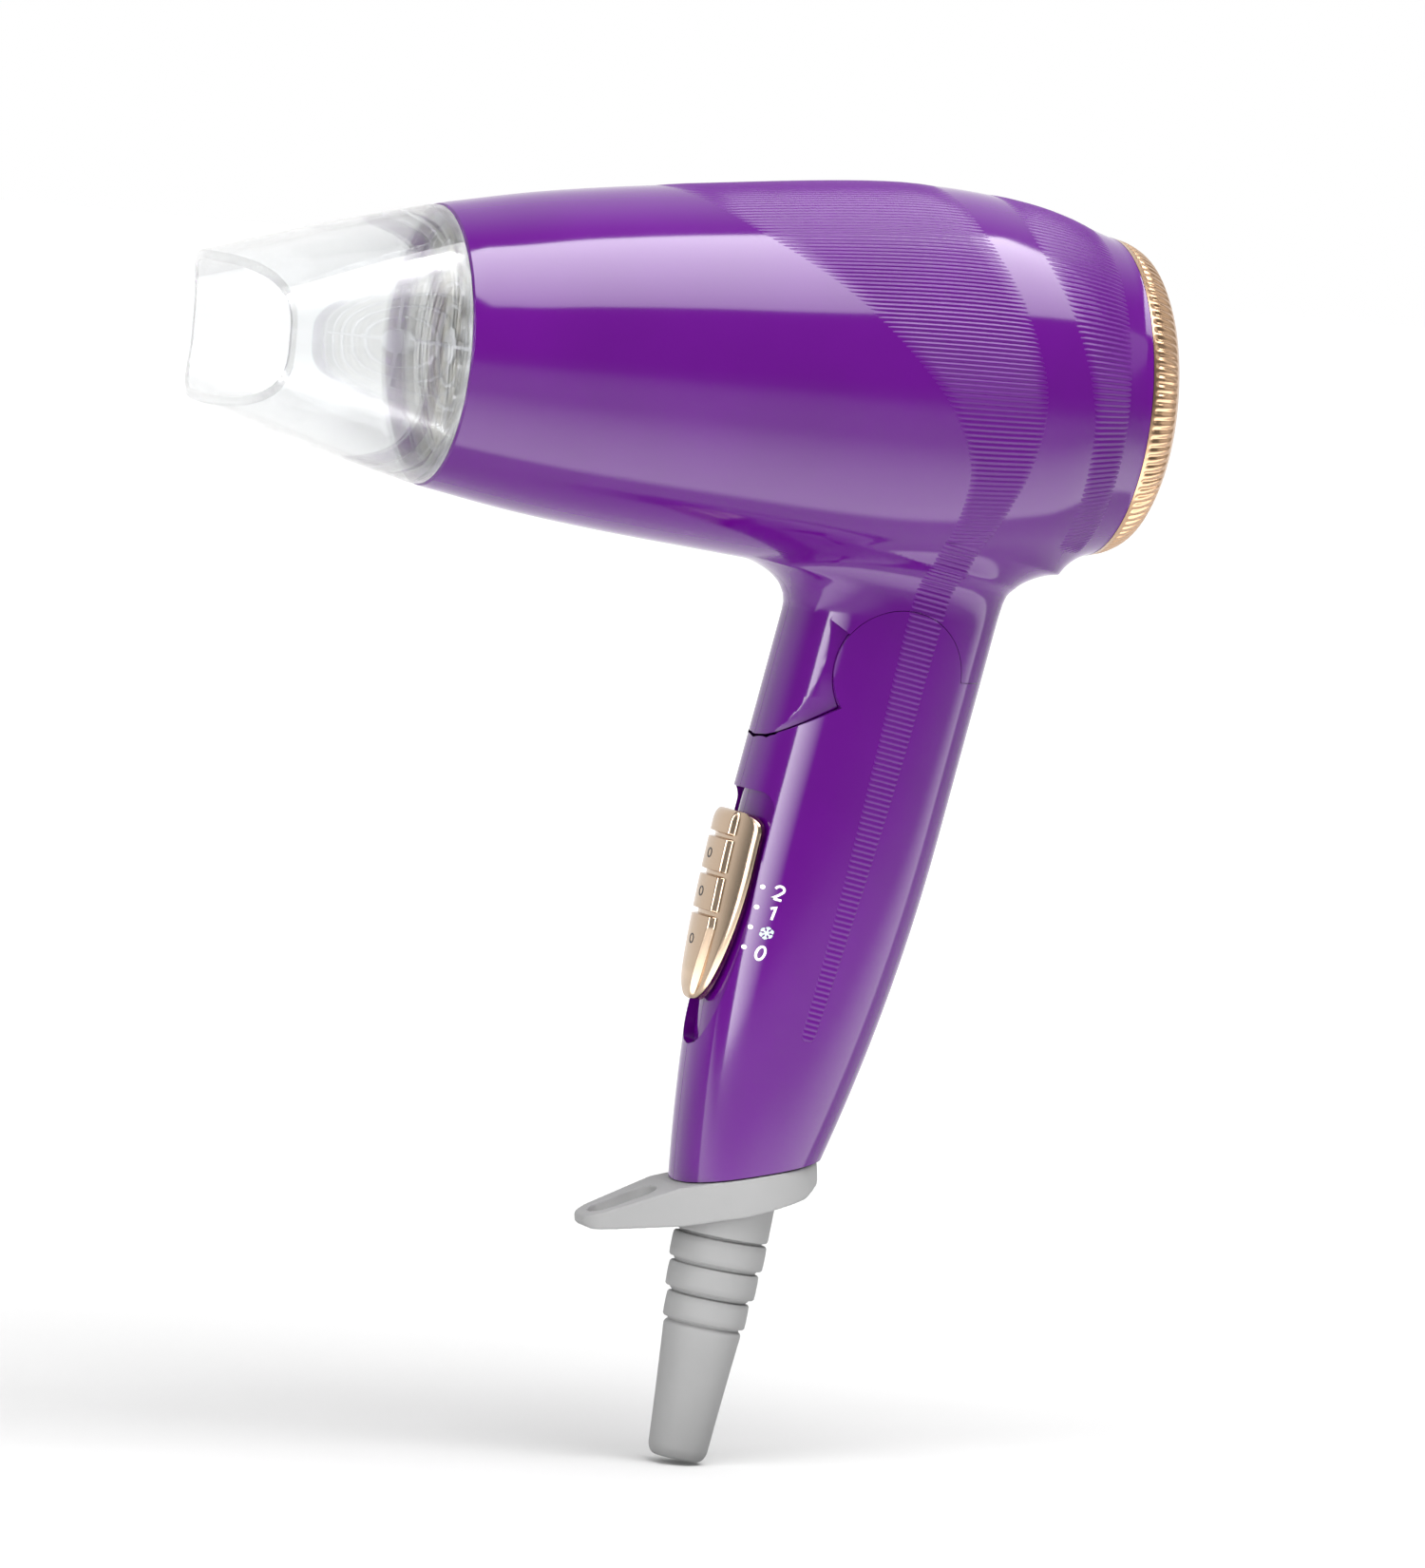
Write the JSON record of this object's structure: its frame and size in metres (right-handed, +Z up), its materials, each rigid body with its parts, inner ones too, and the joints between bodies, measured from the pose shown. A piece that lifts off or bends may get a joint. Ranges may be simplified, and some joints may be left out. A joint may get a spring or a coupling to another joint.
{
  "type": "travel hair dryer",
  "caption": "Folding travel hair dryer with a clear concentrator nozzle, thumb slider, twist-off inlet ring, hang loop and cord boot.",
  "frame": {"origin": "middle of the hand grip, on the plane of symmetry and the grip's own axis", "axes": "+Z up, -X the way the air leaves, +Y the user's right; the barrel's axis is parallel to X at z = 0.112 m"},
  "size_m": [0.1843, 0.0748, 0.2453],
  "materials": {
    "purple": "high gloss",
    "gold": "metallised champagne gold, satin",
    "grey_rubber": "matte",
    "clear_plastic": "clear, polished",
    "black_plastic": "matte",
    "white_plastic": "matte",
    "mica": "smooth sheet",
    "nichrome": "drawn wire",
    "steel": "plain",
    "brass": "plain",
    "copper": "enamelled winding",
    "ferrite": "matte",
    "circuit_board": "laminate",
    "lead_black": "matte",
    "lead_white": "matte",
    "lead_red": "matte"
  },
  "bodies": {
    "handle": {"handle_shell_left": "purple", "handle_shell_right": "purple", "hinge_pin_left": "steel", "hinge_pin_right": "steel", "switch_housing": "black_plastic", "switch_terminal_1": "brass", "switch_terminal_2": "brass", "switch_terminal_3": "brass", "cord_clamp": "black_plastic", "cord_clamp_screw_1": "steel", "cord_clamp_screw_2": "steel", "handle_screw_upper": "steel", "handle_screw_lower": "steel", "hang_loop_collar": "grey_rubber", "strain_relief": "grey_rubber", "supply_lead_live": "lead_black", "supply_lead_neutral": "lead_white", "switched_lead": "lead_red"},
    "slider": {"slider_button": "gold", "switch_lever": "black_plastic"},
    "rotor": {"motor_shaft": "steel", "motor_armature": "copper", "fan_impeller": "black_plastic"},
    "inlet_cap": {"inlet_cap_ring": "gold", "inlet_grille": "black_plastic"},
    "nozzle_ring": {"nozzle_collar": "clear_plastic"},
    "nozzle": {"concentrator_nozzle": "clear_plastic"},
    "barrel": {"barrel_shell_left": "purple", "barrel_shell_right": "purple", "motor_end_cap": "black_plastic", "motor_mount": "black_plastic", "rectifier_diode_1": "black_plastic", "rectifier_diode_2": "black_plastic", "rectifier_diode_3": "black_plastic", "rectifier_diode_4": "black_plastic", "thermal_fuse": "white_plastic", "mica_liner": "mica", "mica_board_upright": "mica", "mica_board_level": "mica", "heating_coil": "nichrome", "outlet_guard": "steel", "neck_screw": "steel", "thermostat": "steel", "motor_can": "steel", "motor_terminal_1": "brass", "motor_terminal_2": "brass", "motor_magnet_1": "ferrite", "motor_magnet_2": "ferrite", "rectifier_board": "circuit_board", "barrel_lead_neutral": "lead_white", "barrel_lead_live": "lead_red"}
  },
  "joints": [
    {"name": "fold", "type": "hinge", "parent": "handle", "child": "barrel", "pos_m": [0.01068, 0, 0.0565], "axis": [0, -1, 0], "range_deg": [0, 66]},
    {"name": "slider_slide", "type": "slide", "parent": "handle", "child": "slider", "axis": [0.108, 0, 0.9942], "range_m": [-0.008, 0.004]},
    {"name": "fan_spin", "type": "hinge", "parent": "barrel", "child": "rotor", "pos_m": [0.016, 0, 0.112], "axis": [1, 0, 0], "continuous": true},
    {"name": "inlet_cap_twist", "type": "hinge", "parent": "barrel", "child": "inlet_cap", "pos_m": [0.05, 0, 0.112], "axis": [1, 0, 0], "range_deg": [0, 20]},
    {"name": "nozzle_pull", "type": "slide", "parent": "barrel", "child": "nozzle_ring", "axis": [-1, 0, 0], "range_m": [0, 0.04]},
    {"name": "nozzle_turn", "type": "hinge", "parent": "nozzle_ring", "child": "nozzle", "pos_m": [-0.084, 0, 0.112], "axis": [1, 0, 0], "continuous": true}
  ]
}
